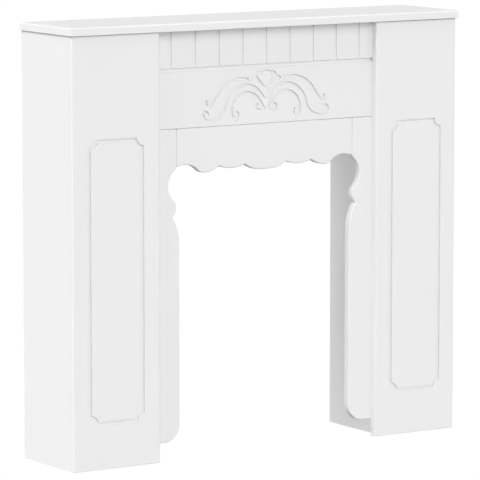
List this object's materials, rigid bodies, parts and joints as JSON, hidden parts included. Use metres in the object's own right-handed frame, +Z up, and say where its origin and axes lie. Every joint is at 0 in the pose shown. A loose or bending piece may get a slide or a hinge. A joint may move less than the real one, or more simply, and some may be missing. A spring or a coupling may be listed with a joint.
{
  "type": "fireplace mantelpiece",
  "caption": "White painted fireplace mantelpiece: hollow grooved columns, a frieze with beads and carved scrolls, a scalloped apron, shaped jambs and a plain shelf.",
  "frame": {"origin": "on the floor, in the middle of the whole footprint, shelf overhang included", "axes": "+X to the right as seen from the room, +Y towards the wall behind, +Z up"},
  "size_m": [1.008, 0.217, 0.95],
  "materials": {
    "white_paint": "satin white paint on smooth wood-fibre board"
  },
  "bodies": {
    "root": {"mantel_shelf": "white_paint", "left_column_face": "white_paint", "left_column_outer_side": "white_paint", "left_column_inner_side": "white_paint", "right_column_face": "white_paint", "right_column_outer_side": "white_paint", "right_column_inner_side": "white_paint", "left_jamb": "white_paint", "right_jamb": "white_paint", "frieze": "white_paint", "apron": "white_paint"}
  },
  "joints": []
}
